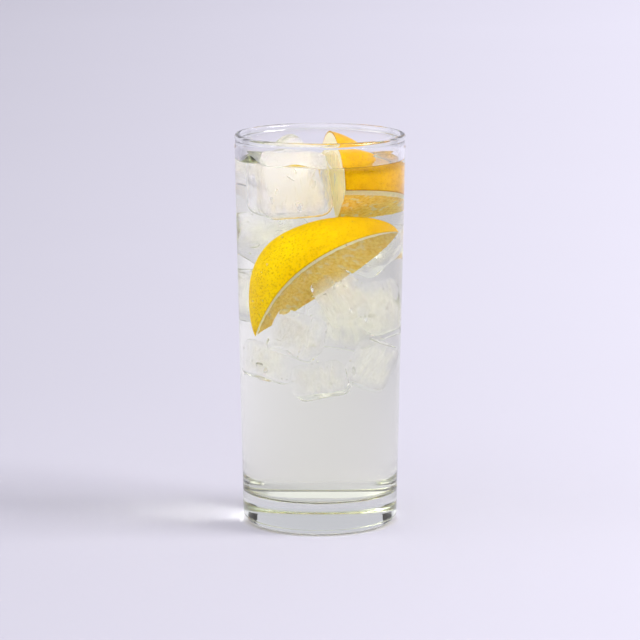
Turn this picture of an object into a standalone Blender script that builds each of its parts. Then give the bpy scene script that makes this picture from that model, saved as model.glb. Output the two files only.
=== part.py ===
"""Tall straight glass of sparkling water with ice cubes and lemon wedges.

The glass stands on its foot ring with its axis on the Z axis. The front is the -Y side.
Lengths are in metres. The drink is a solid up to its surface and leaves a pocket for each
piece of ice or lemon that reaches that surface or the wall of the glass.
"""
from math import asin, cos, exp, pi, radians, sin, tan

import bmesh
import bpy
from mathutils import Matrix, Vector

# Gap kept between pieces that touch
GAP = 0.0003

# Glass
GLASS_HEIGHT = 0.152
RIM_RADIUS = 0.0330
FOOT_RADIUS = 0.0299
WALL = 0.0022
FLOOR_HEIGHT = 0.0125
FOOT_FILLET = 0.0036
INNER_CORNER = 0.0018
RING_WIDTH = 0.0030
PUNT_DEPTH = 0.0010
AROUND = 72

# Drink
WATER_LEVEL = 0.1417
WALL_CLIMB = 0.0009
CLIMB_REACH = 0.0022
# Where ice draws the water up the wall: angle from +X, height and half width of each rise
RISES = (
    (radians(214), 0.0030, radians(8)),
    (radians(254), 0.0013, radians(9)),
    (radians(118), 0.0022, radians(10)),
    (radians(60), 0.0010, radians(14)),
)
SURFACE_RINGS = (0.0, 0.0010, 0.0023, 0.0042, 0.0075, 0.0135, 0.0215)

# Lemon
LEMON_LENGTH = 0.0637
POINTED_END = 0.815
STATIONS = 22
PEEL_STEPS = 10

# Ice
CUBE_ROUNDING = 0.0055
CUBE_TAPER = 0.05


def new_material(name, color, roughness, transmission=0.0, ior=1.5):
    """Return a plain Principled material."""
    material = bpy.data.materials.new(name)
    material.use_nodes = True
    shader = material.node_tree.nodes["Principled BSDF"]
    shader.inputs["Base Color"].default_value = (*color, 1.0)
    shader.inputs["Roughness"].default_value = roughness
    shader.inputs["Metallic"].default_value = 0.0
    shader.inputs["Transmission Weight"].default_value = transmission
    shader.inputs["IOR"].default_value = ior
    material.diffuse_color = (*color, 1.0)
    return material


def new_object(name, mesh_source, material=None, smooth_angle=radians(35)):
    """Turn a bmesh into an object with its faces pointing out."""
    bmesh.ops.recalc_face_normals(mesh_source, faces=mesh_source.faces)
    mesh = bpy.data.meshes.new(name)
    mesh_source.to_mesh(mesh)
    mesh_source.free()
    mesh.shade_smooth()
    mesh.set_sharp_from_angle(angle=smooth_angle)
    piece = bpy.data.objects.new(name, mesh)
    bpy.context.scene.collection.objects.link(piece)
    if material:
        mesh.materials.append(material)
    return piece


def outer_radius(height):
    """Radius of the glass outside at a height."""
    return FOOT_RADIUS + (RIM_RADIUS - FOOT_RADIUS) * height / GLASS_HEIGHT


def inner_radius(height):
    """Radius of the glass inside at a height."""
    return outer_radius(height) - WALL


def arc(centre, radius, start, end, steps):
    """Points (radius, height) along a circular arc of a profile, angles in degrees."""
    angles = [radians(start + (end - start) * i / steps) for i in range(steps + 1)]
    return [(centre[0] + radius * cos(a), centre[1] + radius * sin(a)) for a in angles]


def turned(profile, steps):
    """Spin a profile of (radius, height) points round the Z axis into a closed bmesh."""
    shape = bmesh.new()
    corners = [shape.verts.new((r, 0.0, z)) for r, z in profile]
    edges = [shape.edges.new(pair) for pair in zip(corners, corners[1:])]
    bmesh.ops.spin(
        shape,
        geom=corners + edges,
        cent=(0, 0, 0),
        axis=(0, 0, 1),
        angle=2 * pi,
        steps=steps,
        use_merge=True,
    )
    bmesh.ops.remove_doubles(shape, verts=shape.verts, dist=1e-7)
    return shape


def glass(material):
    """The glass: thick base, low punt inside a foot ring, straight wall and a round lip."""
    lip = WALL / 2
    lip_height = GLASS_HEIGHT - lip
    lip_centre = (inner_radius(lip_height) + lip, lip_height)
    foot_centre = (outer_radius(FOOT_FILLET) - FOOT_FILLET, FOOT_FILLET)
    ring_inner = foot_centre[0] - RING_WIDTH
    corner_height = FLOOR_HEIGHT + INNER_CORNER
    corner_centre = (inner_radius(corner_height) - INNER_CORNER, corner_height)
    profile = [(0.0, FLOOR_HEIGHT)]
    profile += arc(corner_centre, INNER_CORNER, -90, 0, 4)
    profile += arc(lip_centre, lip, 180, 0, 8)
    profile += arc(foot_centre, FOOT_FILLET, 0, -90, 5)
    profile += [(ring_inner, 0.0), (ring_inner - PUNT_DEPTH, PUNT_DEPTH), (0.0, PUNT_DEPTH)]
    return new_object("glass", turned(profile, AROUND), material)


def meniscus(angle, inset):
    """Height of the drink's surface above its level, at an angle and inset from the wall."""
    rise = WALL_CLIMB
    for middle, height, width in RISES:
        away = (angle - middle + pi) % (2 * pi) - pi
        rise += height * exp(-((away / width) ** 2))
    return rise * exp(-inset / CLIMB_REACH)


def drink(material, cutters):
    """The drink: fills the glass up to its surface and leaves a pocket round each cutter."""
    bottom = FLOOR_HEIGHT + GAP
    corner_radius = INNER_CORNER
    corner_height = bottom + corner_radius
    corner_centre = (inner_radius(corner_height) - GAP - corner_radius, corner_height)
    edge = inner_radius(WATER_LEVEL) - GAP
    profile = [(0.0, bottom)]
    profile += arc(corner_centre, corner_radius, -90, 0, 3)
    profile += [(edge - inset, WATER_LEVEL) for inset in SURFACE_RINGS]
    profile += [(0.0, WATER_LEVEL)]
    shape = turned(profile, AROUND)
    for vert in shape.verts:
        if vert.co.z < WATER_LEVEL - GAP:
            continue
        flat = Vector((vert.co.x, vert.co.y))
        angle = flat.angle_signed(Vector((1, 0)), 0.0) if flat.length > GAP else 0.0
        vert.co.z += meniscus(angle, edge - flat.length)
    piece = new_object("drink", shape, material)
    for cutter in cutters:
        pocket = piece.modifiers.new("pocket for " + cutter.name, "BOOLEAN")
        pocket.operation = "DIFFERENCE"
        pocket.object = cutter
    return piece


def as_cutter(piece):
    """Keep a piece as a hidden guide for a cut."""
    piece.hide_render = True
    piece.display_type = "WIRE"
    return piece


def ice_cube(name, material, centre, turn, size, grow=0.0):
    """A moulded ice cube: rounded all over, one face a little smaller than the other."""
    shape = bmesh.new()
    bmesh.ops.create_cube(shape, size=1.0)
    for vert in shape.verts:
        taper = 1 - CUBE_TAPER if vert.co.z > 0 else 1 + CUBE_TAPER
        for axis, length in enumerate(size):
            side = 1 if vert.co[axis] > 0 else -1
            half = length / 2 * (taper if axis < 2 else 1.0)
            vert.co[axis] = side * (half + grow)
    piece = new_object(name, shape, material, smooth_angle=pi)
    piece.location = centre
    piece.rotation_euler = [radians(degrees) for degrees in turn]
    rounding = piece.modifiers.new("rounding", "BEVEL")
    rounding.width = CUBE_ROUNDING + grow
    rounding.segments = 4
    rounding.limit_method = "NONE"
    return piece


def lemon_radius(largest, blunt_end, along):
    """Radius of a lemon at -1 (its pointed end) to 1 (its blunt end)."""
    end = POINTED_END if along < 0 else blunt_end
    return largest * max(0.0, 1 - along * along) ** end


def wedge_section(radius, span, past, grow):
    """Outline across a wedge as (forward, sideways) points: the core, then along the peel."""
    half = span / 2
    widened = half + asin(grow / (radius + grow)) if grow else half
    outline = [(-past * radius - grow / sin(half), 0.0)]
    for step in range(PEEL_STEPS + 1):
        angle = -widened + 2 * widened * step / PEEL_STEPS
        outline.append(((radius + grow) * cos(angle), (radius + grow) * sin(angle)))
    return outline


def lemon_wedge(name, material, largest, blunt_end, blunt, heading, rise, facing, span,
                past=0.0, start=-1.0, slant=0.0, grow=0.0):
    """A wedge of lemon whose core ends at the point blunt.

    largest is the lemon's largest radius, and blunt_end says how fast it narrows at its
    blunt end. heading is the core's angle round Z from +X and rise its angle above the
    level, towards the blunt end. facing is the way the peel looks, as an angle up from the
    front, and span is the angle of the peel between the two long cuts, which meet behind
    the core by the share past of the radius. start is where a cut across the lemon begins
    the piece, from -1 (uncut) to 1, and slant the angle of that cut off the square, towards
    the blunt end at the front. grow moves every face out.
    """
    along = Vector((cos(rise) * cos(heading), cos(rise) * sin(heading), sin(rise)))
    middle = blunt - along * LEMON_LENGTH / 2
    front = Vector((0, -1, 0))
    front = (front - along * front.dot(along)).normalized()
    up = front.cross(along)
    forward = front * cos(facing) + up * sin(facing)
    sideways = forward.cross(along)
    frame = Matrix((forward, sideways, along)).transposed()
    half_length = LEMON_LENGTH / 2 + grow
    halved = start > -1.0

    shape = bmesh.new()
    rings = []
    for step in range(STATIONS + 1):
        share = sin(pi / 2 * step / STATIONS) if halved else (1 - cos(pi * step / STATIONS)) / 2
        place = start + (1 - start) * share
        height = half_length * place
        if halved and step == 0:
            height -= grow
        radius = lemon_radius(largest, blunt_end, place)
        outline = wedge_section(radius, span, past, grow) if radius > GAP else [(0.0, 0.0)]
        ring = []
        for x, y in outline:
            lean = tan(slant) * (x * cos(facing) - y * sin(facing)) * (1 - share)
            ring.append(shape.verts.new(middle + frame @ Vector((x, y, height + lean))))
        rings.append(ring)
    for lower, upper in zip(rings, rings[1:]):
        sides = max(len(lower), len(upper))
        for i in range(sides):
            after = (i + 1) % sides
            corners = [lower[i % len(lower)], lower[after % len(lower)]]
            corners += [upper[after % len(upper)], upper[i % len(upper)]]
            shape.faces.new(list(dict.fromkeys(corners)))
    if halved:
        shape.faces.new(rings[0])
    return new_object(name, shape, material)


def ice_pieces(material):
    """Cubes that break the surface, and the cutters for their pockets."""
    cubes = {
        "ice_front": ((-0.0098, -0.0087, 0.1346), (0, -4, 11), (0.0250, 0.0240, 0.0260)),
        "ice_back": ((-0.0114, 0.0146, 0.1388), (16, 45, 31), (0.0180, 0.0180, 0.0190)),
    }
    cutters = []
    for name, (centre, turn, size) in cubes.items():
        ice_cube(name, material, centre, turn, size)
        cutters.append(as_cutter(ice_cube("pocket_" + name, None, centre, turn, size, GAP)))
    return cutters


def lemon_pieces(material):
    """The long wedge against the front wall and the half wedge that breaks the surface."""
    wedges = {
        "lemon_front": {
            "largest": 0.0258,
            "blunt_end": 0.61,
            "blunt": Vector((0.0284, -0.0087, 0.1149)),
            "heading": radians(-9.3),
            "rise": radians(40.3),
            "facing": radians(64),
            "span": radians(60),
        },
        "lemon_top": {
            "largest": 0.0310,
            "blunt_end": 0.51,
            "blunt": Vector((0.0255, 0.0152, 0.1223)),
            "heading": radians(33),
            "rise": 0.0,
            "facing": radians(83),
            "span": radians(120),
            "past": 0.12,
            "start": 0.21,
            "slant": radians(-23.6),
        },
    }
    cutters = []
    for name, sizes in wedges.items():
        lemon_wedge(name, material, **sizes)
        cutters.append(as_cutter(lemon_wedge("pocket_" + name, None, grow=GAP, **sizes)))
    return cutters


def build():
    """Clear the scene and make every piece."""
    for old in list(bpy.data.objects):
        bpy.data.objects.remove(old)
    clear_glass = new_material("glass", (0.93, 0.96, 0.95), 0.02, transmission=1.0, ior=1.5)
    water = new_material("water", (0.88, 0.89, 0.84), 0.03, transmission=0.9, ior=1.33)
    ice = new_material("ice", (0.90, 0.91, 0.90), 0.12, transmission=0.7, ior=1.31)
    lemon = new_material("lemon", (0.92, 0.66, 0.03), 0.35)
    glass(clear_glass)
    cutters = ice_pieces(ice) + lemon_pieces(lemon)
    drink(water, cutters)


build()
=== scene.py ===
"""Looks of a tall glass of sparkling water with ice cubes and lemon wedges.

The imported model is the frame: it gives the glass its size, and every piece made here stands
where its solid stands. Lengths are in metres. The axis of the glass is the Z axis, and the
front is the -Y side.
"""
from math import cos, exp, pi, radians, sin, tan

import bmesh
import bpy
import numpy as np
from bpy.props import FloatProperty, FloatVectorProperty, IntProperty, PointerProperty
from mathutils import Euler, Matrix, Vector, noise


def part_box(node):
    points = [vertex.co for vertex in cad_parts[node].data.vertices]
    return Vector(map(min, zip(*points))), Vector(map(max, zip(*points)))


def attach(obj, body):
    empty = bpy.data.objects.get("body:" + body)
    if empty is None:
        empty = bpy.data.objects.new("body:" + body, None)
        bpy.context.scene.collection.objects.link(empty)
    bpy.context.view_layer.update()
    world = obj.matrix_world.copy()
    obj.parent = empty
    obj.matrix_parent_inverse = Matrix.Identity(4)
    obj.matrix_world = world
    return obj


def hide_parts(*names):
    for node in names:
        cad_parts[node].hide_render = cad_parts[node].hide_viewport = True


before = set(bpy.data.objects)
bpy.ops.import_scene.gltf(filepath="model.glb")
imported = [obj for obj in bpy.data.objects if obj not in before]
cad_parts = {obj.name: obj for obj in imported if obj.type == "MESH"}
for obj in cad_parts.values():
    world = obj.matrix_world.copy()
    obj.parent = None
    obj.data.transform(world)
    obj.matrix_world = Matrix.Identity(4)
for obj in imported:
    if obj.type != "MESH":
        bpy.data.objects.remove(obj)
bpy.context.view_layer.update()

bl_info = {
    "name": "Glass of Sparkling Water",
    "version": (1, 0, 0),
    "blender": (4, 5, 0),
    "location": "View3D > Sidebar > Drink",
    "description": "Builds a tall glass of sparkling water with ice cubes and lemon wedges",
    "category": "Add Mesh",
}

BODY = "root"
GLASS_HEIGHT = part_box("glass")[1].z
MILLIMETRE = 0.001
SHARP_ANGLE = radians(40)
CLEAR = (1.0, 1.0, 1.0, 1.0)

# How strongly each bends light. What is sunk bends it a little more than the water round it
# does, and gas in water bends it less.
GLASS_IOR = 1.5
WATER_IOR = 1.333
ICE_IOR = 1.31
SUNK_IOR = 1.035
WET_PEEL_IOR = 1.25
GAS_IOR = 0.75

# Share of its shine that glass or water keeps where it meets the other
GLASS_SHINE = 0.08
WATER_SHINE = 0.04

# Half width of the bead as a share of the wall, and how far below the rim it grows out of it
LIP_SHARE = 0.56
NECK = 5 * MILLIMETRE

# Depth below the surface at which the water gets its full shine
SKIN = 0.4 * MILLIMETRE

# How far the water reaches into the cubes and the wedge that break its surface
CUBE_OVERLAP = 0.12 * MILLIMETRE
WEDGE_OVERLAP = 0.6 * MILLIMETRE

# Cracks in the ice: how far they lie below its faces, how flat they are and their least size
CRACK_DEPTH = 4.5 * MILLIMETRE
CRACK_FLATNESS = 0.05
CRACK_LEAST = 0.3

# Where ice draws the water up the wall: angle from +X, height and half width of each rise
RISES = (
    (radians(214), 0.0030, radians(8)),
    (radians(254), 0.0013, radians(9)),
    (radians(118), 0.0022, radians(10)),
    (radians(60), 0.0010, radians(14)),
)

# Cubes that break the surface: centre, turn in degrees, size
TOP_CUBES = {
    "ice_front": ((-0.0098, -0.0087, 0.1346), (0, -4, 11), (0.0250, 0.0240, 0.0260)),
    "ice_back": ((-0.0114, 0.0146, 0.1388), (16, 45, 31), (0.0180, 0.0180, 0.0190)),
}

# Sunk cubes as first placed, before they settle clear of each other: centre, turn, size
SUNK_CUBES = {
    "ice_high_right": ((0.0110, -0.0150, 0.0945), (-32, -29, 6), (0.0165, 0.0130, 0.0185)),
    "ice_right": ((0.0190, -0.0010, 0.0875), (14, -12, 30), (0.0155, 0.0160, 0.0190)),
    "ice_middle": ((-0.0045, -0.0175, 0.0785), (16, 18, -14), (0.0190, 0.0145, 0.0155)),
    "ice_lower_right": ((0.0172, -0.0050, 0.0660), (-16, 28, 12), (0.0160, 0.0155, 0.0185)),
    "ice_lower_left": ((-0.0175, -0.0080, 0.0685), (8, 10, 34), (0.0165, 0.0160, 0.0145)),
    "ice_bottom": ((0.0015, -0.0185, 0.0600), (6, -8, 12), (0.0195, 0.0135, 0.0130)),
    "ice_under_lemon": ((0.0110, 0.0120, 0.1080), (20, 30, 10), (0.0180, 0.0170, 0.0180)),
    "ice_back_left": ((-0.0120, 0.0130, 0.1080), (32, -12, 20), (0.0175, 0.0180, 0.0180)),
    "ice_back_middle": ((-0.0130, 0.0120, 0.0860), (-10, 22, 40), (0.0180, 0.0185, 0.0180)),
    "ice_back_right": ((0.0070, 0.0150, 0.0800), (25, 8, -30), (0.0180, 0.0180, 0.0190)),
}
# Sunk cubes that are cloudier than the rest, and how many times
CLOUDY = {"ice_high_right": 2.6, "ice_right": 1.4}

# Lemon wedges, as wedge_mesh reads them
WEDGES = {
    "lemon_front": {
        "largest": 0.0258,
        "blunt_end": 0.61,
        "blunt": Vector((0.0284, -0.0087, 0.1149)),
        "heading": radians(-9.3),
        "rise": radians(40.3),
        "facing": radians(64),
        "span": radians(60),
    },
    "lemon_top": {
        "largest": 0.0310,
        "blunt_end": 0.51,
        "blunt": Vector((0.0255, 0.0152, 0.1223)),
        "heading": radians(33),
        "rise": 0.0,
        "facing": radians(83),
        "span": radians(120),
        "past": 0.12,
        "start": 0.21,
        "slant": radians(-23.6),
    },
}

# Light of the room by the height that it comes from, 0 at the horizon and 1 overhead
ROOM_LIGHT = (
    (0.030, (0.72, 0.71, 0.82)),
    (0.540, (0.66, 0.65, 0.70)),
    (0.700, (1.16, 1.14, 1.16)),
)
# The same where a large white card stands in front, on the left
FRONT_CARD = (
    (0.030, (0.72, 0.71, 0.82)),
    (0.080, (2.05, 2.02, 2.00)),
    (0.480, (2.05, 2.02, 2.00)),
)
CARD_SIDE = (-0.66, -0.75, 0.0)
# Dark flags at both sides, which give thick glass its dark corners: colour, then the middle
# and the half width of how far to the front or back and how high they stand
FLAG = (0.045, 0.042, 0.036)
FLAG_DEPTH = (0.58, 0.12)
FLAG_HEIGHT = (0.175, 0.105)
LAMP_PLACE = (1.70, -0.40, 1.65)
LAMP_AIM = (0.0, 0.0, 0.08)
LAMP_SIDE = 1.05
LAMP_WATTS = 44.0
LAMP_COLOUR = (1.0, 0.985, 0.96)

# Painted light and shade on the floor: darker to the left and brighter to the right, darker
# again far to the right, and brighter to the back. For each: where it starts and ends to
# change, and from what to what
PAINTED_LIGHT_ACROSS = (-0.4, 0.4, 0.79, 1.21)
PAINTED_SHADE_BEYOND = (0.36, 0.60, 1.0, 0.78)
PAINTED_LIGHT_AWAY = (0.3, 2.0, 1.0, 1.15)
# Where the floor's painted light and shade give way to an even painted brightness, to the
# left and to the back, and how bright it then is in each
EVEN_LEFT = (-0.7, -2.0)
EVEN_BACK = (2.4, 4.5)
EVEN_PAINTED_BRIGHTNESS = (1.11, 1.21)


def number(name, description, default):
    """Setting that is a plain number."""
    return FloatProperty(name=name, description=description, default=default)


def metres(name, description, default):
    """Setting that is a length in metres."""
    return FloatProperty(name=name, description=description, default=default, unit="LENGTH")


def colour(name, description, default):
    """Setting that is a colour."""
    return FloatVectorProperty(
        name=name, description=description, default=default, subtype="COLOR"
    )


class GlassSettings(bpy.types.PropertyGroup):
    """Sizes of the glass."""

    height: metres("Height", "Height of the glass", GLASS_HEIGHT)
    rim_radius: metres("Rim radius", "Radius of the glass outside at the rim", 0.0330)
    foot_radius: metres(
        "Foot radius", "Radius that the outside would have at the floor, without its fillet",
        0.0299,
    )
    wall: metres("Wall", "Thickness of the wall", 0.0022)
    floor_height: metres("Floor height", "Height of the floor inside the glass", 0.0125)
    foot_fillet: metres("Foot fillet", "Radius of the rounding under the foot", 0.0036)
    inner_corner: metres("Inner corner", "Radius between the floor and the wall inside", 0.0018)
    ring_width: metres("Foot ring", "Width of the flat foot ring", 0.0030)
    punt_depth: metres("Punt depth", "Depth of the hollow inside the foot ring", 0.0010)
    bead: metres("Bead", "Half height of the bead that ends the wall", 0.00135)
    around: IntProperty(
        name="Steps around", description="Faces round the glass", default=192, min=24
    )
    tint: colour("Tint", "Colour that thick glass lets through best", (0.28, 0.38, 0.16))
    tint_density: number("Tint density", "Strength of the tint for each metre", 5.0)


class DrinkSettings(bpy.types.PropertyGroup):
    """Level, edge and tint of the water."""

    level: metres("Level", "Height of the water", 0.1417)
    climb: metres("Climb", "Height that the water climbs at the wall", 0.0009)
    reach: metres("Climb reach", "Distance from the wall over which the climb fades", 0.0022)
    into_wall: metres(
        "Into the wall", "Depth that the water reaches into the wall, so that no air shows",
        0.00035,
    )
    tint: colour("Tint", "Colour that the water lets through best", (0.617, 0.685, 0.065))
    tint_density: number("Tint density", "Strength of the tint for each metre", 4.6)


class IceSettings(bpy.types.PropertyGroup):
    """Form and clarity of the ice cubes."""

    rounding: metres("Rounding", "Radius of a cube's edges", 0.0055)
    sunk_rounding: metres("Sunk rounding", "Radius of a sunk cube's edges", 0.0034)
    taper: number("Taper", "Share by which one end is smaller and the other larger", 0.05)
    melt: metres("Melt", "Depth of the soft hollows that melting leaves", 0.0007)
    top_cloud: number(
        "Cloud in the top cubes", "Density, for each metre, of the cloudy core of a cube that "
        "breaks the surface", 150.0
    )
    sunk_cloud: number(
        "Cloud in the sunk cubes", "Density of the cloudy core of a sunk cube, for each metre",
        70.0,
    )
    cloud_colour: colour("Cloud colour", "Colour of the trapped air", (1.0, 0.985, 0.95))
    clearance: metres("Clearance", "Least distance between sunk pieces", 0.0004)


class LemonSettings(bpy.types.PropertyGroup):
    """Form and colours of the lemon."""

    length: metres("Length", "Length of a lemon", 0.0637)
    pointed_end: number("Pointed end", "How fast a lemon narrows at its pointed end", 0.815)
    peel: colour("Peel", "Colour of the long wedge's peel", (1.0, 0.70, 0.001))
    # Painted shade: the darker, deeper orange that the long wedge's peel turns to at its right
    # end
    peel_in_painted_shade: colour(
        "Peel in painted shade", "Colour of the long wedge's peel at its right end", (0.84, 0.50, 0.0012)
    )
    # Painted shade: the top wedge's peel is a darker, deeper orange copy of the peel, so that the
    # wedge, which rises out of the water into more light, is not too bright
    top_peel_in_painted_shade: colour("Top peel in painted shade", "Colour of the top wedge's peel", (0.66, 0.375, 0.0003))
    pith: colour("Pith", "Colour of the pith", (0.90, 0.84, 0.60))
    flesh: colour("Flesh", "Colour of the long wedge's flesh", (0.97, 0.75, 0.24))
    top_flesh: colour("Top flesh", "Colour of the top wedge's flesh", (1.0, 0.74, 0.17))
    peel_depth: metres("Peel depth", "Depth of the yellow skin on a cut face", 0.0008)
    pith_depth: metres("Pith depth", "Depth below the skin at which the pith ends", 0.0034)
    top_pith_depth: metres(
        "Top pith depth", "Depth below the skin at which the top wedge's pith ends", 0.0055
    )
    clearness: number("Clearness", "Share of the light that passes the juice", 0.35)


class BubbleSettings(bpy.types.PropertyGroup):
    """Gas bubbles on the sunk ice and the long wedge, and cracks in the ice."""

    smallest: metres("Smallest", "Least radius", 0.00012)
    largest: metres("Largest", "Greatest radius", 0.00042)
    density: number("Density", "Bubbles on each square metre of surface", 9000.0)
    cracks: number("Cracks", "Cracks on each square metre inside the ice", 7000.0)
    crack_size: metres("Crack size", "Greatest radius of a crack", 0.0019)
    seed: IntProperty(name="Seed", description="Seed of the scatter", default=7)


class StageSettings(bpy.types.PropertyGroup):
    """Floor, light and camera."""

    floor: colour("Floor", "Colour of the floor", (0.462, 0.453, 0.532))
    floor_radius: metres("Floor radius", "Radius of the floor", 6.0)
    camera_distance: metres(
        "Camera distance", "Distance of the camera in front of the glass", 1.342
    )
    camera_height: metres("Camera height", "Height of the camera", 0.3225)
    camera_pitch: FloatProperty(
        name="Camera pitch", description="Angle by which the camera looks down",
        default=radians(10.284), unit="ROTATION",
    )
    lens: number("Lens", "Focal length in millimetres", 197.8)


def put(tree, kind, inputs=None, **settings):
    """Add a node, set its options and fill or link its inputs."""
    node = tree.nodes.new(kind)
    for name, value in settings.items():
        setattr(node, name, value)
    for name, value in (inputs or {}).items():
        if isinstance(value, bpy.types.NodeSocket):
            tree.links.new(value, node.inputs[name])
        else:
            node.inputs[name].default_value = value
    return node


def maths(tree, operation, *values):
    """Result of a Math node on numbers or sockets."""
    return put(tree, "ShaderNodeMath", dict(enumerate(values)), operation=operation).outputs[0]


def spread(tree, value, low, high, start=0.0, end=1.0, smooth=False):
    """A value stretched from between low and high to between start and end."""
    return put(
        tree,
        "ShaderNodeMapRange",
        {"Value": value, "From Min": low, "From Max": high, "To Min": start, "To Max": end},
        interpolation_type="SMOOTHSTEP" if smooth else "LINEAR",
    ).outputs["Result"]


def scaled(tree, vector, factor):
    """A vector or colour times a number."""
    node = put(tree, "ShaderNodeVectorMath", {0: vector, "Scale": factor}, operation="SCALE")
    return node.outputs["Vector"]


def blend(tree, share, first, second):
    """Mix of two colours, each a socket or three numbers."""
    pair = [c if isinstance(c, bpy.types.NodeSocket) else (*c, 1.0) for c in (first, second)]
    inputs = {"Factor": share, "A": pair[0], "B": pair[1]}
    return put(tree, "ShaderNodeMix", inputs, data_type="RGBA").outputs[2]


def noise_at(tree, vector, scale, detail):
    """Value of a noise at a place."""
    inputs = {"Vector": vector, "Scale": scale, "Detail": detail}
    return put(tree, "ShaderNodeTexNoise", inputs).outputs["Fac"]


def stretched(tree, vector, scale):
    """A place with each axis scaled."""
    return put(tree, "ShaderNodeMapping", {"Vector": vector, "Scale": scale}).outputs["Vector"]


def place_on(tree):
    """Place on the piece in metres."""
    return tree.nodes.new("ShaderNodeTexCoord").outputs["Object"]


def apart(tree, vector):
    """X, Y and Z of a place or direction."""
    return put(tree, "ShaderNodeSeparateXYZ", {"Vector": vector}).outputs


def bumped(tree, shader, height, strength, distance):
    """Give a shader the fine relief of a height."""
    inputs = {"Height": height, "Strength": strength, "Distance": distance}
    relief = put(tree, "ShaderNodeBump", inputs).outputs["Normal"]
    tree.links.new(relief, shader.inputs["Normal"])


def node_group(name, geometry, numbers):
    """New geometry node group with its inputs, one material input and its output."""
    tree = bpy.data.node_groups.new(name, "GeometryNodeTree")
    sockets = tree.interface
    sockets.new_socket(geometry, in_out="INPUT", socket_type="NodeSocketGeometry")
    for label, kind in numbers.items():
        sockets.new_socket(label, in_out="INPUT", socket_type="NodeSocket" + kind)
    sockets.new_socket("Material", in_out="INPUT", socket_type="NodeSocketMaterial")
    sockets.new_socket("Geometry", in_out="OUTPUT", socket_type="NodeSocketGeometry")
    return tree, tree.nodes.new("NodeGroupInput").outputs


def end_group(tree, geometry, material):
    """End a node group in real geometry with its material."""
    real = put(tree, "GeometryNodeRealizeInstances", {"Geometry": geometry})
    inputs = {"Geometry": real.outputs["Geometry"], "Material": material}
    coloured = put(tree, "GeometryNodeSetMaterial", inputs)
    put(tree, "NodeGroupOutput", {"Geometry": coloured.outputs["Geometry"]})
    return tree


def new_material(name, values):
    """Return a Principled material, its node tree and its shader."""
    material = bpy.data.materials.new(name)
    material.use_nodes = True
    shader = material.node_tree.nodes["Principled BSDF"]
    for socket, value in values.items():
        shader.inputs[socket].default_value = value
    return material, material.node_tree, shader


def new_piece(name, mesh, material):
    """Link a mesh as an object at the origin, shaded smooth."""
    mesh.name = name
    mesh.shade_smooth()
    mesh.set_sharp_from_angle(angle=SHARP_ANGLE)
    mesh.materials.clear()
    mesh.materials.append(material)
    piece = bpy.data.objects.new(name, mesh)
    bpy.context.scene.collection.objects.link(piece)
    return piece


def hand_over(piece, slot, *nodes):
    """Tie a finished piece to its body, and hide the solids that it stands for."""
    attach(piece, BODY)
    if nodes:
        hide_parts(*nodes)


def mesh_from(shape, name):
    """Turn a bmesh into a mesh with its faces pointing out."""
    bmesh.ops.recalc_face_normals(shape, faces=shape.faces)
    mesh = bpy.data.meshes.new(name)
    shape.to_mesh(mesh)
    shape.free()
    return mesh


def baked(piece):
    """Plain mesh of an object as its modifiers leave it."""
    graph = bpy.context.evaluated_depsgraph_get()
    return bpy.data.meshes.new_from_object(piece.evaluated_get(graph), depsgraph=graph)


def set_input(modifier, name, value):
    """Set a node modifier's input by the identifier of the socket with that name."""
    for item in modifier.node_group.interface.items_tree:
        if item.item_type == "SOCKET" and item.in_out == "INPUT" and item.name == name:
            modifier[item.identifier] = value
            return
    raise RuntimeError("The node group has no input " + name)


def turning_tree():
    """Node group that turns a profile, drawn as edges in the XZ plane, round the Z axis."""
    tree, given = node_group("Turned profile", "Profile", {"Steps around": "Int"})
    profile, around = given["Profile"], given["Steps around"]
    inputs = {"Geometry": profile}
    size = put(tree, "GeometryNodeAttributeDomainSize", inputs, component="MESH")
    columns = maths(tree, "ADD", around, 1.0)
    inputs = {"Vertices X": size.outputs["Point Count"], "Vertices Y": columns}
    grid = put(tree, "GeometryNodeMeshGrid", inputs)
    index = tree.nodes.new("GeometryNodeInputIndex").outputs["Index"]
    row = maths(tree, "FLOOR", maths(tree, "DIVIDE", index, columns))
    column = maths(tree, "FLOORED_MODULO", index, columns)
    angle = maths(tree, "MULTIPLY", maths(tree, "DIVIDE", column, around), 2 * pi)
    position = tree.nodes.new("GeometryNodeInputPosition").outputs["Position"]
    inputs = {"Geometry": profile, "Value": position, "Index": row}
    point = put(tree, "GeometryNodeSampleIndex", inputs, data_type="FLOAT_VECTOR")
    inputs = {"Vector": point.outputs["Value"], "Angle": angle}
    turn = put(tree, "ShaderNodeVectorRotate", inputs, rotation_type="Z_AXIS")
    inputs = {"Geometry": grid.outputs["Mesh"], "Position": turn.outputs["Vector"]}
    placed = put(tree, "GeometryNodeSetPosition", inputs)
    inputs = {"Geometry": placed.outputs["Geometry"], "Distance": 1e-6}
    joined = put(tree, "GeometryNodeMergeByDistance", inputs)
    return end_group(tree, joined.outputs["Geometry"], given["Material"])


def turned(profile, steps, material):
    """Closed mesh of a profile of (radius, height) points turned round the Z axis."""
    line = bpy.data.meshes.new("profile")
    points = [(r, 0.0, z) for r, z in profile]
    line.from_pydata(points, [(i, i + 1) for i in range(len(points) - 1)], [])
    carrier = bpy.data.objects.new("profile", line)
    bpy.context.scene.collection.objects.link(carrier)
    modifier = carrier.modifiers.new("turn", "NODES")
    modifier.node_group = bpy.data.node_groups.get("Turned profile") or turning_tree()
    set_input(modifier, "Steps around", steps)
    set_input(modifier, "Material", material)
    shape = bmesh.new()
    shape.from_mesh(baked(carrier))
    bmesh.ops.remove_doubles(shape, verts=shape.verts, dist=1e-7)
    bpy.data.objects.remove(carrier)
    return mesh_from(shape, "turned")


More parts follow.
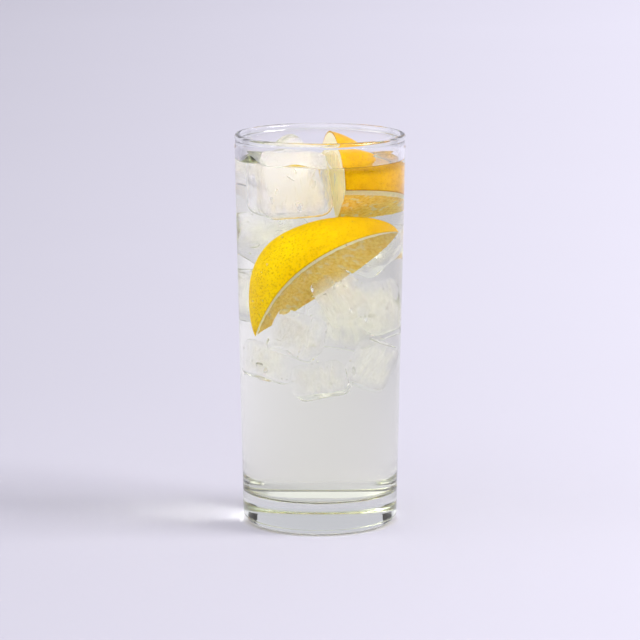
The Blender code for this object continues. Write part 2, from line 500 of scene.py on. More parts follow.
def arc(centre, radius, start, end, steps, height=None):
    """Points (radius, height) along an arc of a profile, angles in degrees."""
    angles = [radians(start + (end - start) * i / steps) for i in range(steps + 1)]
    tall = radius if height is None else height
    return [(centre[0] + radius * cos(a), centre[1] + tall * sin(a)) for a in angles]


def along_line(start, end, steps, hold=0.0004):
    """Points between two points of a profile, with one close to each end to hold the shading."""
    start, end = Vector(start), Vector(end)
    length = (end - start).length
    shares = [hold / length] + [i / steps for i in range(1, steps)] + [1 - hold / length]
    return [tuple(start.lerp(end, share)) for share in shares]


def outer_radius(glass, height):
    """Radius of the glass outside at a height."""
    return glass.foot_radius + (glass.rim_radius - glass.foot_radius) * height / glass.height


def inner_radius(glass, height):
    """Radius of the glass inside at a height."""
    return outer_radius(glass, height) - glass.wall


def glass_profile(glass):
    """Profile of the glass from the middle of its floor, over the lip, to the punt."""
    lip = glass.wall * LIP_SHARE
    lip_height = glass.height - glass.bead
    lip_centre = (outer_radius(glass, lip_height) - lip, lip_height)
    neck = glass.height - NECK
    fillet = glass.foot_fillet
    foot_centre = (outer_radius(glass, fillet) - fillet, fillet)
    ring_inner = foot_centre[0] - glass.ring_width
    corner_height = glass.floor_height + glass.inner_corner
    corner_centre = (inner_radius(glass, corner_height) - glass.inner_corner, corner_height)
    corner = arc(corner_centre, glass.inner_corner, -90, 0, 10)
    rim = arc(lip_centre, lip, 222, -42, 36, glass.bead)
    rim = [(inner_radius(glass, neck), neck), *rim, (outer_radius(glass, neck), neck)]
    foot = arc(foot_centre, fillet, 0, -90, 14)
    punt = (ring_inner - glass.punt_depth, glass.punt_depth)
    middle = (0.0, glass.floor_height)
    profile = [middle] + along_line(middle, corner[0], 12)
    profile += corner + along_line(corner[-1], rim[0], 40)
    profile += rim + along_line(rim[-1], foot[0], 40)
    profile += foot + along_line(foot[-1], (ring_inner, 0.0), 2)
    profile += [(ring_inner, 0.0), punt]
    profile += along_line(punt, (0.0, glass.punt_depth), 12) + [(0.0, glass.punt_depth)]
    return profile


def clear_material(name, ior, tint, density, shine, bright_from, fade):
    """Clear material that takes up light by its depth.

    Its faces keep a share of their shine up to a height, and all of it past the fade above.
    """
    material, tree, shader = new_material(
        name,
        {
            "Base Color": CLEAR,
            "Roughness": 0.0,
            "IOR": ior,
            "Transmission Weight": 1.0,
        },
    )
    inputs = {"Color": (*tint, 1.0), "Density": density}
    depth = put(tree, "ShaderNodeVolumeAbsorption", inputs).outputs["Volume"]
    tree.links.new(depth, tree.nodes["Material Output"].inputs["Volume"])
    up = apart(tree, place_on(tree))["Z"]
    grown = spread(tree, up, bright_from, bright_from + fade, start=shine)
    tree.links.new(grown, shader.inputs["Specular Tint"])
    return material


def glass_material(glass):
    """Clear polished glass, faintly green where it is thick, with its full shine at the rim."""
    rim = glass.height - 3 * glass.bead
    return clear_material(
        "clear glass", GLASS_IOR, glass.tint, glass.tint_density, GLASS_SHINE, rim, glass.bead
    )


def water_material(drink):
    """Clear water with a trace of lemon juice in it, with its full shine on the surface."""
    return clear_material(
        "sparkling water", WATER_IOR, drink.tint, drink.tint_density, WATER_SHINE,
        drink.level - SKIN, SKIN / 4
    )


def meniscus(drink, angle, inset):
    """Height of the water's surface above its level, at an angle and inset from the wall."""
    rise = drink.climb
    for middle, height, width in RISES:
        away = (angle - middle + pi) % (2 * pi) - pi
        rise += height * exp(-((away / width) ** 2))
    return rise * exp(-max(inset, 0.0) / drink.reach)


def drink_mesh(glass, drink, material):
    """Water from the floor of the glass to its surface, reaching just into the wall."""
    into = drink.into_wall
    bottom = glass.floor_height - into
    corner_radius = glass.inner_corner
    corner_height = bottom + corner_radius
    corner_centre = (inner_radius(glass, corner_height) + into - corner_radius, corner_height)
    edge = inner_radius(glass, drink.level) + into
    corner = arc(corner_centre, corner_radius, -90, 0, 10)
    insets = [drink.reach * 0.12 * i for i in range(1, 16)]
    insets += [insets[-1] + 0.0012 * i for i in range(1, 20)]
    surface = [(edge - inset, drink.level) for inset in insets if inset < edge]
    profile = [(0.0, bottom)] + along_line((0.0, bottom), corner[0], 12)
    profile += corner + along_line(corner[-1], (edge, drink.level), 46)
    profile += [(edge, drink.level)] + surface + [(0.0, drink.level)]
    mesh = turned(profile, glass.around, material)
    for vert in mesh.vertices:
        if vert.co.z < drink.level - MILLIMETRE * 0.1:
            continue
        flat = Vector((vert.co.x, vert.co.y))
        angle = flat.angle_signed(Vector((1, 0)), 0.0) if flat.length > MILLIMETRE else 0.0
        vert.co.z += meniscus(drink, angle, edge - into - flat.length)
    return mesh


def rounded_cube(size, rounding, steps, grow=0.0):
    """Bmesh of a cube of a size with every edge rounded."""
    shape = bmesh.new()
    bmesh.ops.create_cube(shape, size=1.0)
    bmesh.ops.subdivide_edges(shape, edges=shape.edges, cuts=steps, use_grid_fill=True)
    half = [length / 2 + grow for length in size]
    radius = rounding + grow
    for vert in shape.verts:
        spot = Vector([sin(pi * c) * h for c, h in zip(vert.co, half)])
        core = Vector([max(radius - h, min(h - radius, c)) for c, h in zip(spot, half)])
        vert.co = core + (spot - core).normalized() * radius
    return shape


def place_cube(shape, centre, turn, height, taper):
    """Taper a cube's bmesh, then turn it and put it in its place."""
    for vert in shape.verts:
        vert.co.xy *= 1 - taper * 2 * vert.co.z / height
    turned_by = Euler([radians(degrees) for degrees in turn]).to_matrix().to_4x4()
    bmesh.ops.transform(shape, matrix=Matrix.Translation(centre) @ turned_by, verts=shape.verts)


def ice_mesh(ice, rounding, centre, turn, size, steps=34, grow=0.0):
    """One moulded ice cube with the soft hollows of melting, in its place."""
    shape = rounded_cube(size, rounding, steps, grow)
    seed = Vector(centre) * 1000
    shape.normal_update()
    for vert in shape.verts:
        wide = noise.noise(vert.co * 95 + seed)
        fine = noise.noise(vert.co * 260 + seed * 2)
        hollow = ice.melt * (0.5 + 0.6 * wide + 0.22 * fine)
        vert.co -= vert.normal * max(0.0, hollow)
    place_cube(shape, centre, turn, size[2], ice.taper)
    return mesh_from(shape, "ice")


def in_cube(tree, centre, turn, size):
    """Place in a cube's own frame, where its faces lie at -1 and 1, and depth from its middle."""
    inputs = {
        "Vector": place_on(tree),
        "Location": centre,
        "Rotation": [radians(degrees) for degrees in turn],
        "Scale": [length / 2 for length in size],
    }
    own = put(tree, "ShaderNodeMapping", inputs, vector_type="TEXTURE").outputs["Vector"]
    size_of = put(tree, "ShaderNodeVectorMath", {0: own}, operation="ABSOLUTE")
    sides = apart(tree, size_of.outputs["Vector"])
    wider = maths(tree, "SMOOTH_MAX", sides["X"], sides["Y"], 0.25)
    return own, maths(tree, "SMOOTH_MAX", wider, sides["Z"], 0.25)


def ice_material(name, ice, sizes, ior, roughness, density):
    """Wet ice, clear at its faces, round a streaky core of fine trapped air."""
    material, tree, shader = new_material(
        name,
        {
            "Base Color": CLEAR,
            "Roughness": roughness,
            "IOR": ior,
            "Transmission Weight": 1.0,
            "Specular Tint": (0.4, 0.4, 0.4, 1.0),
        },
    )
    own, out = in_cube(tree, *sizes)
    ragged = maths(tree, "MULTIPLY_ADD", noise_at(tree, own, 1.3, 3.0), 0.9, out)
    core = spread(tree, ragged, 1.42, 0.85, smooth=True)
    streaks = noise_at(tree, stretched(tree, own, (5.0, 4.0, 1.1)), 1.4, 4.0)
    air = maths(tree, "MULTIPLY", core, spread(tree, streaks, 0.40, 0.64, end=2.5))
    thick = maths(tree, "MULTIPLY", air, density)
    inputs = {"Color": (*ice.cloud_colour, 1.0), "Density": thick, "Anisotropy": 0.2}
    haze = put(tree, "ShaderNodeVolumeScatter", inputs).outputs["Volume"]
    tree.links.new(haze, tree.nodes["Material Output"].inputs["Volume"])
    ripple = noise_at(tree, place_on(tree), 420.0, 3.0)
    bumped(tree, shader, ripple, 0.25, 0.4 * MILLIMETRE)
    return material


class CubeBody:
    """A cube as settling sees it: centre, turn and half size, with points on its surface."""

    def __init__(self, centre, turn, size, rounding):
        self.centre = np.array(centre)
        self.turn = np.array(Euler([radians(degrees) for degrees in turn]).to_matrix())
        self.half = np.array(size) / 2
        self.rounding = rounding
        shape = rounded_cube(size, rounding, 5)
        self.local = np.array([tuple(vert.co) for vert in shape.verts])
        shape.free()

    def points(self):
        """Points on the surface, in place."""
        return self.local @ self.turn.T + self.centre

    def push(self, points, gap):
        """Shift that takes the cube off the point that lies deepest in it, or None."""
        local = (points - self.centre) @ self.turn
        over = np.abs(local) - (self.half - self.rounding)
        outside = np.maximum(over, 0.0)
        depth = np.linalg.norm(outside, axis=1) + np.minimum(over.max(axis=1), 0.0)
        depth -= self.rounding
        deepest = int(depth.argmin())
        if depth[deepest] > gap:
            return None
        way = outside[deepest] * np.sign(local[deepest])
        if not way.any():
            axis = int(over[deepest].argmax())
            way[axis] = np.sign(local[deepest][axis])
        way /= np.linalg.norm(way)
        return -(self.turn @ way) * (gap - depth[deepest])


def settle(cubes, fixed, glass, gap):
    """Shift the cubes until they are clear of each other, of the fixed points and of the wall."""
    for _ in range(400):
        moved = 0.0
        for name, cube in cubes.items():
            shift = np.zeros(3)
            for other_name, other in cubes.items():
                if other_name == name:
                    continue
                away = cube.push(other.points(), gap)
                if away is not None:
                    shift += away * 0.5
                back = other.push(cube.points(), gap)
                if back is not None:
                    shift -= back * 0.5
            away = cube.push(fixed, gap)
            if away is not None:
                shift += away
            points = cube.points()
            radius = np.hypot(points[:, 0], points[:, 1])
            room = inner_radius(glass, float(cube.centre[2])) - gap
            far = int(radius.argmax())
            if radius[far] > room:
                shift[:2] -= points[far, :2] / radius[far] * (radius[far] - room)
            cube.centre = cube.centre + shift * 0.6
            moved = max(moved, float(np.abs(shift).max()))
        if moved < 1e-5:
            return
    raise RuntimeError(f"The sunk ice doesn't settle: the last shift was {moved * 1000:.2f} mm")


def lemon_radius(lemon, largest, blunt_end, along):
    """Radius of a lemon at -1 (its pointed end) to 1 (its blunt end)."""
    end = lemon.pointed_end if along < 0 else blunt_end
    return largest * max(0.0, 1 - along * along) ** end


def wedge_outline(radius, span, past, cut_steps, peel_steps):
    """Outline across a wedge: (forward, sideways, distance from the core) for each point."""
    half = span / 2
    outline = [(-past * radius, 0.0, 0.0)]
    shares = [(i / cut_steps) ** 0.8 for i in range(1, cut_steps + 1)]
    cut = [(radius * (share * (cos(half) + past) - past), radius * share * sin(half), share)
           for share in shares]
    outline += [(x, -y, share) for x, y, share in cut]
    for step in range(1, peel_steps):
        angle = -half + span * step / peel_steps
        outline.append((radius * cos(angle), radius * sin(angle), 1.0))
    return outline + cut[::-1]


def wedge_frame(lemon, blunt, heading, rise, facing):
    """Middle of the lemon and the axes of a wedge: forward, sideways and along its core."""
    along = Vector((cos(rise) * cos(heading), cos(rise) * sin(heading), sin(rise)))
    middle = blunt - along * lemon.length / 2
    front = Vector((0, -1, 0))
    front = (front - along * front.dot(along)).normalized()
    up = front.cross(along)
    forward = front * cos(facing) + up * sin(facing)
    return middle, Matrix((forward, forward.cross(along), along)).transposed()


def wedge_mesh(lemon, largest, blunt_end, blunt, heading, rise, facing, span, past=0.0,
               start=-1.0, slant=0.0, stations=150, cut_steps=40, peel_steps=84, relief=1.0,
               shrink=0.0):
    """A wedge of lemon in its place, with its depth below the peel kept on every point.

    largest is the lemon's largest radius, and blunt_end says how fast it narrows at its
    blunt end. blunt is the end of the core, heading the core's angle round Z from +X, rise
    its angle above the level and facing the way the peel looks, up from the front. The long
    cuts meet behind the core by the share past of the radius. start is where a cut across
    the lemon begins the piece, from -1 for none to 1, and slant the angle of that cut off
    the square, towards the blunt end at the front.
    """
    middle, frame_axes = wedge_frame(lemon, blunt, heading, rise, facing)
    halved = start > -1.0
    shape = bmesh.new()
    depth_layer = shape.verts.layers.float.new("below_peel")
    place_layer = shape.verts.layers.float_vector.new("flesh_place")
    across_layer = shape.verts.layers.float.new("cut_across")
    rings = []
    core_shift = shrink / sin(span / 2)
    for step in range(stations + 1):
        share = sin(pi / 2 * step / stations) if halved else (1 - cos(pi * step / stations)) / 2
        place = start + (1 - start) * share
        height = (lemon.length / 2 - shrink) * place + (shrink if halved and step == 0 else 0.0)
        radius = lemon_radius(lemon, largest, blunt_end, place)
        flat = radius - core_shift - shrink
        if flat < MILLIMETRE * 0.2:
            outline = [(radius / 2, 0.0, 1.0)] if shrink else [(0.0, 0.0, 1.0)]
        else:
            outline = wedge_outline(flat, span, past, cut_steps, peel_steps)
            outline = [(x + core_shift, y, share_out) for x, y, share_out in outline]
        ring = []
        for x, y, share_out in outline:
            lean = tan(slant) * (x * cos(facing) - y * sin(facing)) * (1 - share)
            vert = shape.verts.new((x, y, height + lean))
            vert[depth_layer] = radius * (1 - share_out) * 1000
            vert[place_layer] = Vector((radius * share_out, y, height)) * 1000
            vert[across_layer] = 1.0 if halved and step == 0 else 0.0
            ring.append(vert)
        rings.append(ring)
    for lower, upper in zip(rings, rings[1:]):
        sides = max(len(lower), len(upper))
        if sides == 1:
            continue
        for i in range(sides):
            after = (i + 1) % sides
            corners = [lower[i % len(lower)], lower[after % len(lower)]]
            corners += [upper[after % len(upper)], upper[i % len(upper)]]
            shape.faces.new(list(dict.fromkeys(corners)))
    if halved:
        close_cut(shape, rings[0], depth_layer, place_layer, across_layer, cut_steps)
    loose = [vert for vert in shape.verts if not vert.link_faces]
    bmesh.ops.delete(shape, geom=loose, context="VERTS")
    bmesh.ops.recalc_face_normals(shape, faces=shape.faces)
    if relief:
        carve_lemon(shape, depth_layer, place_layer, relief)
    bmesh.ops.transform(shape, matrix=Matrix.Translation(middle) @ frame_axes.to_4x4(),
                        verts=shape.verts)
    return mesh_from(shape, "lemon")


def close_cut(shape, ring, depth_layer, place_layer, across_layer, cut_steps):
    """Fill the cut across a halved wedge with rings of faces round the core."""
    core = ring[0]
    edge = ring[cut_steps:len(ring) - cut_steps + 1]
    first_side, last_side = ring[:cut_steps + 1], [ring[0]] + ring[:cut_steps:-1][:cut_steps]
    rows = [[core] * len(edge)]
    for i in range(1, cut_steps):
        share = (first_side[i].co - core.co).length / (first_side[-1].co - core.co).length
        row = [first_side[i]]
        for rim_vert in edge[1:-1]:
            vert = shape.verts.new(core.co.lerp(rim_vert.co, share))
            radius = (rim_vert.co - core.co).length
            vert[depth_layer] = radius * (1 - share) * 1000
            vert[place_layer] = Vector((radius * share, vert.co.y, vert.co.z)) * 1000
            vert[across_layer] = 1.0
            row.append(vert)
        row.append(last_side[i])
        rows.append(row)
    rows.append(edge)
    for inner, outer in zip(rows, rows[1:]):
        for i in range(len(edge) - 1):
            corners = [inner[i], inner[i + 1], outer[i + 1], outer[i]]
            shape.faces.new(list(dict.fromkeys(corners)))


def carve_lemon(shape, depth_layer, place_layer, relief):
    """Press the pores into the peel and the juice sacs into the cut faces, always inwards."""
    shape.normal_update()
    for vert in shape.verts:
        depth = vert[depth_layer]
        if depth <= 0.01:
            pits = noise.noise(vert.co * 620) * 0.5 + noise.noise(vert.co * 1100) * 0.3
            lumps = noise.noise(vert.co * 75)
            dent = 0.00005 + 0.00009 * max(0.0, 0.4 + pits) + 0.00018 * (0.6 + lumps)
        else:
            place = vert[place_layer]
            grain = Vector((place.x * 0.16, place.y * 0.5, place.z * 0.62))
            sacs = noise.noise(grain) * 0.6 + noise.noise(grain * 2.1) * 0.4
            flesh = min(1.0, max(0.0, (depth - 2.4) / 1.2))
            dent = 0.00006 + flesh * 0.00034 * max(0.0, 0.75 + sacs)
        vert.co -= vert.normal * dent * relief


def lemon_material(name, lemon, level, peel_colour, peel_in_painted_shade, flesh_colour, pith_depth, clearness):
    """Wet lemon: dimpled peel, pale pith and clear juicy flesh, told apart by depth.

    The peel turns darker and deeper orange towards +X, a painted shade. Below the water's level
    the faces shine as little as water on juice does.
    """
    material, tree, shader = new_material(
        name,
        {
            "Specular IOR Level": 0.2,
            "Subsurface Radius": (1.0, 0.65, 0.15),
            "Subsurface Scale": 0.0022,
        },
    )

    def kept(attribute, output="Fac"):
        """Value kept on the points of the mesh."""
        node = put(tree, "ShaderNodeAttribute", attribute_name=attribute)
        return node.outputs[output]

    def deeper(limit, softness):
        """0 above a depth in metres, 1 below it, over a softness in millimetres."""
        limit /= MILLIMETRE
        return spread(tree, kept("below_peel"), limit - softness, limit + softness, smooth=True)

    def shaded(colour, factors):
        """A colour with each channel scaled."""
        return tuple(c * f for c, f in zip(colour, factors))

    def drive(socket, value):
        """Let a value set one of the shader's inputs."""
        tree.links.new(value, shader.inputs[socket])

    place = place_on(tree)
    spot = apart(tree, place)
    edge = 0.5 * MILLIMETRE
    drive("IOR", spread(tree, spot["Z"], level - edge, level + edge, SUNK_IOR, WET_PEEL_IOR))

    # Peel: dull blotches, and darker dots in the pores
    blotch = spread(tree, noise_at(tree, place, 95.0, 4.0), 0.34, 0.62)
    pores = put(tree, "ShaderNodeTexVoronoi", {"Vector": place, "Scale": 950.0})
    pore = spread(tree, pores.outputs["Distance"], 0.24, 0.48)
    speckle = spread(tree, noise_at(tree, place, 1300.0, 1.0), 0.52, 0.64)
    dot = maths(tree, "MAXIMUM", pore, speckle)
    # Painted shade: the peel turns darker and deeper orange towards +X, the long wedge's right
    # end
    painted_shade_share = spread(tree, spot["X"], -0.012, 0.028)
    dull = (0.93, 0.86, 0.5)
    dull_peel = blend(tree, painted_shade_share, shaded(peel_colour, dull), shaded(peel_in_painted_shade, dull))
    peel = blend(tree, blotch, dull_peel, blend(tree, painted_shade_share, peel_colour, peel_in_painted_shade))
    dotted = blend(tree, dot, shaded(peel_colour, (0.70, 0.58, 0.3)), peel)

    # Flesh: juice sacs and pale membranes that run out from the core
    flesh_place = kept("flesh_place", "Vector")
    sacs = noise_at(tree, stretched(tree, flesh_place, (0.16, 0.5, 0.62)), 1.6, 4.0)
    sac = spread(tree, sacs, 0.36, 0.64)
    ridges = noise_at(tree, stretched(tree, flesh_place, (0.05, 0.2, 0.30)), 1.3, 2.0)
    membrane = spread(tree, ridges, 0.54, 0.66, end=0.7, smooth=True)
    juice = blend(tree, sac, shaded(flesh_colour, (0.86, 0.74, 0.42)), flesh_colour)
    flesh = blend(tree, membrane, juice, shaded(lemon.pith, (1.0, 0.97, 0.85)))
    pale = maths(tree, "MULTIPLY", kept("cut_across"), 0.7)
    flesh = blend(tree, pale, flesh, shaded(lemon.pith, (1.05, 1.02, 0.95)))

    # From the peel inwards
    in_pith = deeper(lemon.peel_depth, 0.12)
    in_flesh = deeper(pith_depth, 0.45)
    inside = blend(tree, in_flesh, lemon.pith, flesh)
    drive("Base Color", blend(tree, in_pith, dotted, inside))
    drive("Transmission Weight", maths(tree, "MULTIPLY", in_flesh, clearness))
    drive("Subsurface Weight", spread(tree, in_pith, 0.0, 1.0, 0.10, 0.35))
    drive("Roughness", spread(tree, in_flesh, 0.0, 1.0, 0.36, 0.16))
    inputs = {"Factor": in_pith, "A": dot, "B": sac}
    relief = put(tree, "ShaderNodeMix", inputs, data_type="FLOAT").outputs[0]
    bumped(tree, shader, relief, 0.6, 0.25 * MILLIMETRE)
    return material


def bubble_tree():
    """Node group that scatters small bubbles, round or flat, over a surface."""
    numbers = dict.fromkeys(("Density", "Smallest", "Largest", "Flatness", "Stand off"), "Float")
    tree, given = node_group("Clinging bubbles", "Surface", {**numbers, "Seed": "Int"})
    seed = given["Seed"]
    inputs = {"Mesh": given["Surface"], "Density": given["Density"], "Seed": seed}
    spots = put(tree, "GeometryNodeDistributePointsOnFaces", inputs).outputs
    lift = scaled(tree, spots["Normal"], given["Stand off"])
    lifted = put(tree, "GeometryNodeSetPosition", {"Geometry": spots["Points"], "Offset": lift})
    ball = put(tree, "GeometryNodeMeshIcoSphere", {"Radius": 1.0, "Subdivisions": 2})
    inputs = {"Min": given["Smallest"], "Max": given["Largest"], "Seed": seed}
    radius = put(tree, "FunctionNodeRandomValue", inputs, data_type="FLOAT")
    flat = put(tree, "ShaderNodeCombineXYZ", {"X": 1.0, "Y": 1.0, "Z": given["Flatness"]})
    inputs = {"Min": (0.0, 0.0, 0.0), "Max": (pi, pi, pi), "Seed": seed}
    turn = put(tree, "FunctionNodeRandomValue", inputs, data_type="FLOAT_VECTOR")
    inputs = {
        "Points": lifted.outputs["Geometry"],
        "Instance": ball.outputs["Mesh"],
        "Rotation": turn.outputs["Value"],
        "Scale": scaled(tree, flat.outputs["Vector"], radius.outputs["Value"]),
    }
    copies = put(tree, "GeometryNodeInstanceOnPoints", inputs)
    return end_group(tree, copies.outputs["Instances"], given["Material"])


def bubbles_on(surface, sizes, density, stand_off, seed, material, flatness=1.0):
    """Mesh of the bubbles on a surface, with radii between two sizes."""
    carrier = bpy.data.objects.new("bubble surface", surface)
    bpy.context.scene.collection.objects.link(carrier)
    modifier = carrier.modifiers.new("bubbles", "NODES")
    modifier.node_group = bpy.data.node_groups.get("Clinging bubbles") or bubble_tree()
    values = {
        "Density": density,
        "Smallest": sizes[0],
        "Largest": sizes[1],
        "Flatness": flatness,
        "Stand off": stand_off,
        "Seed": seed,
        "Material": material,
    }
    for name, value in values.items():
        set_input(modifier, name, value)
    mesh = baked(carrier)
    bpy.data.objects.remove(carrier)
    return mesh


class DRINK_OT_glass(bpy.types.Operator):
    """Turn the glass"""

    bl_idname = "drink.glass"
    bl_label = "Glass"

    def execute(self, context):
        glass = context.scene.sparkling_glass
        material = glass_material(glass)
        mesh = turned(glass_profile(glass), glass.around, material)
        hand_over(new_piece("clear_glass", mesh, material), "glass", "glass")
        return {"FINISHED"}


class DRINK_OT_lemon(bpy.types.Operator):
    """Make both lemon wedges"""

    bl_idname = "drink.lemon"
    bl_label = "Lemon wedges"

    def execute(self, context):
        lemon = context.scene.sparkling_lemon
        level = context.scene.sparkling_water.level
        long_flesh = (lemon.flesh, lemon.pith_depth, lemon.clearness)
        top_flesh = (lemon.top_flesh, lemon.top_pith_depth, 0.0)
        # Each wedge's peel colours, with their painted shade, then its flesh
        finishes = {
            "lemon_front": (lemon.peel, lemon.peel_in_painted_shade, *long_flesh),
            "lemon_top": (lemon.top_peel_in_painted_shade, lemon.top_peel_in_painted_shade, *top_flesh),
        }
        for node, sizes in WEDGES.items():
            material = lemon_material("wet " + node, lemon, level, *finishes[node])
            mesh = wedge_mesh(lemon, **sizes)
            hand_over(new_piece("wedge_" + node, mesh, material), "lemon", node)
        return {"FINISHED"}


class DRINK_OT_ice(bpy.types.Operator):
    """Make the ice cubes that break the surface and the sunk ones"""

    bl_idname = "drink.ice"
    bl_label = "Ice cubes"

    def execute(self, context):
        ice = context.scene.sparkling_ice
        glass = context.scene.sparkling_glass
        lemon = context.scene.sparkling_lemon
        fixed = []
        for node, sizes in TOP_CUBES.items():
            material = ice_material("wet " + node, ice, sizes, ICE_IOR, 0.02, ice.top_cloud)
            mesh = ice_mesh(ice, ice.rounding, *sizes)
            hand_over(new_piece("cube_" + node, mesh, material), "ice", node)
            fixed += [tuple(vert.co) for vert in mesh.vertices]
        for sizes in WEDGES.values():
            mesh = wedge_mesh(lemon, **sizes, stations=24, cut_steps=6, peel_steps=10, relief=0)
            fixed += [tuple(vert.co) for vert in mesh.vertices]
            bpy.data.meshes.remove(mesh)
        cubes = {
            name: CubeBody(*sizes, rounding=ice.sunk_rounding)
            for name, sizes in SUNK_CUBES.items()
        }
        settle(cubes, np.array(fixed), glass, ice.clearance)
        for name, (_, turn, size) in SUNK_CUBES.items():
            centre = tuple(float(c) for c in cubes[name].centre)
            sizes = (centre, turn, size)
            cloud = ice.sunk_cloud * CLOUDY.get(name, 1.0)
            material = ice_material("sunk " + name, ice, sizes, SUNK_IOR, 0.0, cloud)
            mesh = ice_mesh(ice, ice.sunk_rounding, *sizes, steps=30)
            hand_over(new_piece(name, mesh, material), "ice")
        return {"FINISHED"}


class DRINK_OT_water(bpy.types.Operator):
    """Fill the glass with water round the ice and lemon that break its surface"""

    bl_idname = "drink.water"
    bl_label = "Water"

    def execute(self, context):
        scene = context.scene
        glass, drink = scene.sparkling_glass, scene.sparkling_water
        ice, lemon = scene.sparkling_ice, scene.sparkling_lemon
        material = water_material(drink)
        piece = new_piece("water", drink_mesh(glass, drink, material), material)
        shapes = [
            ice_mesh(ice, ice.rounding, *sizes, steps=20, grow=-CUBE_OVERLAP)
            for sizes in TOP_CUBES.values()
        ]
        shapes.append(
            wedge_mesh(lemon, **WEDGES["lemon_top"], stations=36, cut_steps=8, peel_steps=24,
                       relief=0, shrink=WEDGE_OVERLAP)
        )
        cutters = [new_piece("cut", shape, material) for shape in shapes]
        for cutter in cutters:
            pocket = piece.modifiers.new("pocket", "BOOLEAN")
            pocket.operation = "DIFFERENCE"
            pocket.object = cutter
        mesh = baked(piece)
        for thing in [piece, *cutters]:
            bpy.data.objects.remove(thing)
        hand_over(new_piece("water", mesh, material), "water", "drink")
        return {"FINISHED"}


class DRINK_OT_bubbles(bpy.types.Operator):
    """Scatter bubbles over the sunk ice and the long wedge, and cracks inside the ice"""

    bl_idname = "drink.bubbles"
    bl_label = "Bubbles"

    def execute(self, context):
        settings = context.scene.sparkling_bubbles
        values = {
            "Base Color": CLEAR,
            "Roughness": 0.0,
            "IOR": GAS_IOR,
            "Transmission Weight": 1.0,
        }
        material = new_material("gas bubble", values)[0]
        outside = self.joined([*SUNK_CUBES, "wedge_lemon_front"])
        sizes = (settings.smallest, settings.largest)
        mesh = bubbles_on(
            outside, sizes, settings.density, settings.largest, settings.seed, material
        )
        hand_over(new_piece("bubbles", mesh, material), "water")
        inside = self.joined([*SUNK_CUBES, "cube_ice_front"], -CRACK_DEPTH)
        sizes = (settings.crack_size * CRACK_LEAST, settings.crack_size)
        mesh = bubbles_on(
            inside, sizes, settings.cracks, 0.0, settings.seed, material, CRACK_FLATNESS
        )
        hand_over(new_piece("ice_cracks", mesh, material), "ice")
        return {"FINISHED"}

    def joined(self, names, grow=0.0):
        """One mesh of the named pieces, each shrunk or grown along its normals."""
        merged = bmesh.new()
        for name in names:
            merged.from_mesh(bpy.data.objects[name].data)
        merged.normal_update()
        for vert in merged.verts:
            vert.co += vert.normal * grow
        return mesh_from(merged, "bubble surface")


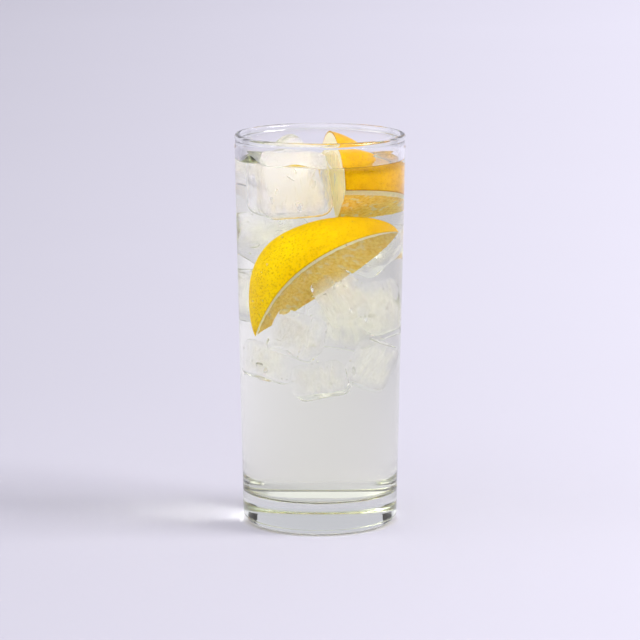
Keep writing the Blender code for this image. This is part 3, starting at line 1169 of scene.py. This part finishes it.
class DRINK_OT_stage(bpy.types.Operator):
    """Set up the floor, the light and the camera"""

    bl_idname = "drink.stage"
    bl_label = "Stage"

    def execute(self, context):
        stage = context.scene.sparkling_stage
        scene = context.scene
        self.floor(scene, stage)
        self.light(scene)
        self.camera(scene, stage)
        scene.view_settings.view_transform = "Standard"
        scene.view_settings.look = "None"
        scene.cycles.max_bounces = 64
        scene.cycles.transmission_bounces = 64
        scene.cycles.glossy_bounces = 32
        scene.cycles.volume_bounces = 12
        scene.cycles.blur_glossy = 0.0
        return {"FINISHED"}

    def floor(self, scene, stage):
        """A wide pale floor, with painted light and shade across it."""
        shape = bmesh.new()
        bmesh.ops.create_circle(shape, cap_ends=True, segments=96, radius=stage.floor_radius)
        mesh = bpy.data.meshes.new("floor")
        shape.to_mesh(mesh)
        shape.free()
        material, tree, shader = new_material(
            "pale floor", {"Roughness": 0.7, "Specular IOR Level": 0.2}
        )
        place = place_on(tree)
        spot = apart(tree, place)
        darker = tuple(c * 0.985 for c in stage.floor)
        pale = blend(tree, noise_at(tree, place, 6.0, 2.0), darker, stage.floor)
        # Painted light and shade: brighter to the right and to the back, darker far to the right,
        # and even far away
        across = spread(tree, spot["X"], *PAINTED_LIGHT_ACROSS)
        beyond = spread(tree, spot["X"], *PAINTED_SHADE_BEYOND)
        away = spread(tree, spot["Y"], *PAINTED_LIGHT_AWAY)
        left = spread(tree, spot["X"], *EVEN_LEFT)
        back = spread(tree, spot["Y"], *EVEN_BACK)
        inputs = {
            "Factor": maths(tree, "MAXIMUM", left, back),
            "A": maths(tree, "MULTIPLY", maths(tree, "MULTIPLY", across, beyond), away),
            "B": spread(tree, back, 0.0, 1.0, *EVEN_PAINTED_BRIGHTNESS),
        }
        level = put(tree, "ShaderNodeMix", inputs, data_type="FLOAT").outputs[0]
        tree.links.new(scaled(tree, pale, level), shader.inputs["Base Color"])
        mesh.materials.append(material)
        floor = bpy.data.objects.new("floor", mesh)
        scene.collection.objects.link(floor)

    def by_height(self, tree, height, stops):
        """Colour of light from a height, between stops of a height and a colour."""
        ramp = put(tree, "ShaderNodeValToRGB", {"Fac": height})
        elements = ramp.color_ramp.elements
        while len(elements) < len(stops):
            elements.new(0.5)
        for element, (position, colour) in zip(elements, stops):
            element.position = position
            element.color = (*colour, 1.0)
        return ramp.outputs["Color"]

    def light(self, scene):
        """A soft bright room, and a large soft light on the right."""
        world = bpy.data.worlds.new("studio")
        scene.world = world
        world.use_nodes = True
        tree = world.node_tree
        direction = tree.nodes.new("ShaderNodeTexCoord").outputs["Generated"]
        along = apart(tree, direction)
        inputs = {0: direction, 1: CARD_SIDE}
        towards = put(tree, "ShaderNodeVectorMath", inputs, operation="DOT_PRODUCT")
        filled = blend(
            tree,
            spread(tree, towards.outputs["Value"], 0.30, 0.60),
            self.by_height(tree, along["Z"], ROOM_LIGHT),
            self.by_height(tree, along["Z"], FRONT_CARD),
        )
        depth = maths(tree, "ABSOLUTE", along["Y"])
        aside = maths(tree, "COMPARE", depth, *FLAG_DEPTH)
        low = maths(tree, "COMPARE", along["Z"], *FLAG_HEIGHT)
        light = blend(tree, maths(tree, "MULTIPLY", aside, low), filled, FLAG)
        tree.links.new(light, tree.nodes["Background"].inputs["Color"])
        tree.nodes["Background"].inputs["Strength"].default_value = 1.0

        key = bpy.data.lights.new("soft light", "AREA")
        key.shape = "RECTANGLE"
        key.size = key.size_y = LAMP_SIDE
        key.energy = LAMP_WATTS
        key.color = LAMP_COLOUR
        lamp = bpy.data.objects.new("soft light", key)
        lamp.location = LAMP_PLACE
        aim = Vector(LAMP_AIM) - lamp.location
        lamp.rotation_euler = aim.to_track_quat("-Z", "Y").to_euler()
        scene.collection.objects.link(lamp)

    def camera(self, scene, stage):
        """A camera in front of the glass, a little above it."""
        data = bpy.data.cameras.new("camera")
        data.lens = stage.lens
        data.sensor_width = 36.0
        data.clip_end = 50.0
        camera = bpy.data.objects.new("camera", data)
        camera.location = (0.0, -stage.camera_distance, stage.camera_height)
        camera.rotation_euler = (pi / 2 - stage.camera_pitch, 0.0, 0.0)
        scene.collection.objects.link(camera)
        scene.camera = camera


class DRINK_PT_panel(bpy.types.Panel):
    """Sidebar panel of the drink"""

    bl_idname = "DRINK_PT_panel"
    bl_label = "Sparkling Water"
    bl_space_type = "VIEW_3D"
    bl_region_type = "UI"
    bl_category = "Drink"

    def draw(self, context):
        for name in STEPS:
            self.layout.operator("drink." + name)


STEPS = ("glass", "lemon", "ice", "water", "bubbles", "stage")
SETTINGS = {
    "sparkling_glass": GlassSettings,
    "sparkling_water": DrinkSettings,
    "sparkling_ice": IceSettings,
    "sparkling_lemon": LemonSettings,
    "sparkling_bubbles": BubbleSettings,
    "sparkling_stage": StageSettings,
}
OPERATORS = (
    DRINK_OT_glass,
    DRINK_OT_lemon,
    DRINK_OT_ice,
    DRINK_OT_water,
    DRINK_OT_bubbles,
    DRINK_OT_stage,
)


def register():
    """Register the settings, the operators and the panel."""
    for name, group in SETTINGS.items():
        bpy.utils.register_class(group)
        setattr(bpy.types.Scene, name, PointerProperty(type=group))
    for operator in OPERATORS:
        bpy.utils.register_class(operator)
    bpy.utils.register_class(DRINK_PT_panel)


def unregister():
    """Remove what register adds."""
    bpy.utils.unregister_class(DRINK_PT_panel)
    for operator in reversed(OPERATORS):
        bpy.utils.unregister_class(operator)
    for name, group in reversed(list(SETTINGS.items())):
        delattr(bpy.types.Scene, name)
        bpy.utils.unregister_class(group)


def main():
    """Build the drink and its stage."""
    register()
    for name in STEPS:
        getattr(bpy.ops.drink, name)()


if __name__ == "__main__":
    main()
